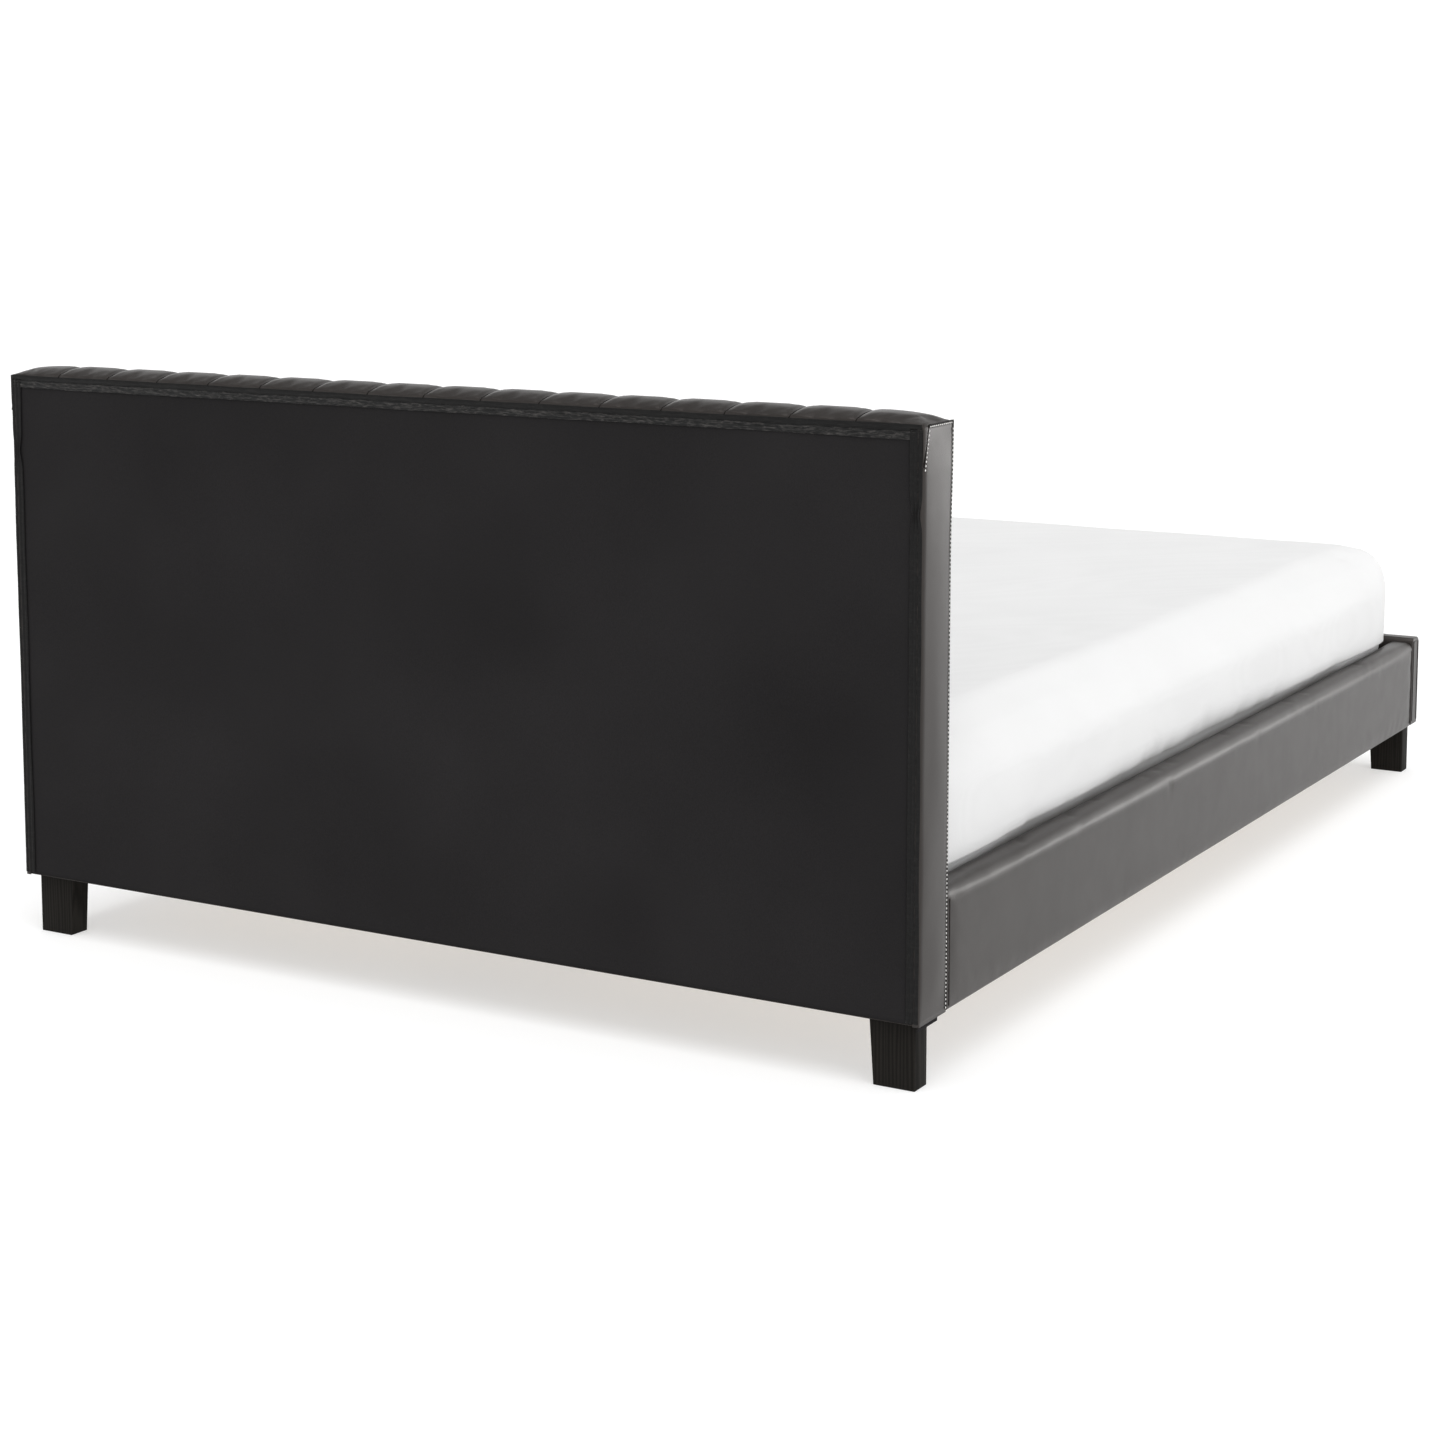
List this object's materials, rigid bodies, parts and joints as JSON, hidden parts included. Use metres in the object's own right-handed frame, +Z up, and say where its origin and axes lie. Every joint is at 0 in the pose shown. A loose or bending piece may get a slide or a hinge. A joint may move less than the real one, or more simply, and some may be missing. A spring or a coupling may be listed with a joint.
{
  "type": "upholstered bed",
  "caption": "Low double bed with a padded leather-look headboard, side rails and footboard, flat tapered legs, a slatted base and a mattress in a fitted sheet.",
  "frame": {"origin": "on the floor, under the middle of the bed's outline", "axes": "+Z up, +Y towards the headboard, +X towards the right-hand side rail as seen from the foot"},
  "size_m": [1.5, 2.16, 0.853],
  "materials": {
    "leather": "satin black-brown leatherette",
    "dust_cloth": "matt black non-woven cloth",
    "edge_tape": "matt black edging",
    "leg_lacquer": "satin near-black lacquer",
    "timber": "planed softwood",
    "hardboard": "raw hardboard",
    "foam": "open-cell foam",
    "black_steel": "black powder coat",
    "zinc": "zinc plate",
    "black_plastic": "moulded black",
    "slat_pine": "planed pine",
    "webbing": "woven tape",
    "ticking": "knitted ticking",
    "sheet_cotton": "white cotton"
  },
  "bodies": {
    "frame": {"headboard_cover": "leather", "headboard_foam": "foam", "headboard_front_board": "hardboard", "headboard_left_post": "timber", "headboard_right_post": "timber", "headboard_bottom_rail": "timber", "headboard_middle_rail": "timber", "headboard_top_rail": "timber", "headboard_back_cloth": "dust_cloth", "headboard_back_tape": "edge_tape", "footboard_cover": "leather", "footboard_foam": "foam", "footboard_core": "timber", "left_rail_cover": "leather", "left_rail_foam": "foam", "left_rail_board": "timber", "left_slat_ledge": "timber", "right_rail_cover": "leather", "right_rail_foam": "foam", "right_rail_board": "timber", "right_slat_ledge": "timber", "head_left_leg": "leg_lacquer", "head_right_leg": "leg_lacquer", "foot_left_leg": "leg_lacquer", "foot_right_leg": "leg_lacquer", "head_left_leg_stud": "zinc", "head_right_leg_stud": "zinc", "foot_left_leg_stud": "zinc", "foot_right_leg_stud": "zinc", "head_left_corner_bracket": "black_steel", "head_right_corner_bracket": "black_steel", "foot_left_corner_bracket": "black_steel", "foot_right_corner_bracket": "black_steel", "head_left_corner_bolt": "zinc", "head_right_corner_bolt": "zinc", "foot_left_corner_bolt": "zinc", "foot_right_corner_bolt": "zinc", "centre_beam": "black_steel", "head_beam_stirrup": "black_steel", "foot_beam_stirrup": "black_steel", "head_centre_leg": "black_plastic", "foot_centre_leg": "black_plastic"},
    "slatted_base": {"slat_01": "slat_pine", "slat_02": "slat_pine", "slat_03": "slat_pine", "slat_04": "slat_pine", "slat_05": "slat_pine", "slat_06": "slat_pine", "slat_07": "slat_pine", "slat_08": "slat_pine", "slat_09": "slat_pine", "slat_10": "slat_pine", "slat_11": "slat_pine", "slat_12": "slat_pine", "left_slat_tape": "webbing", "right_slat_tape": "webbing"},
    "bedding": {"mattress": "ticking", "fitted_sheet": "sheet_cotton"},
    "head_foot_screw": {"head_levelling_foot": "black_plastic"},
    "foot_foot_screw": {"foot_levelling_foot": "black_plastic"}
  },
  "joints": [
    {"name": "slatted_base_lift", "type": "slide", "parent": "frame", "child": "slatted_base", "axis": [0, 0, 1], "range_m": [0, 0.3]},
    {"name": "mattress_lift", "type": "slide", "parent": "slatted_base", "child": "bedding", "axis": [0, 0, 1], "range_m": [0, 0.4]},
    {"name": "head_foot_travel", "type": "slide", "parent": "frame", "child": "head_foot_screw", "axis": [0, 0, 1], "range_m": [0, 0.02]},
    {"name": "foot_foot_travel", "type": "slide", "parent": "frame", "child": "foot_foot_screw", "axis": [0, 0, 1], "range_m": [0, 0.02]}
  ]
}
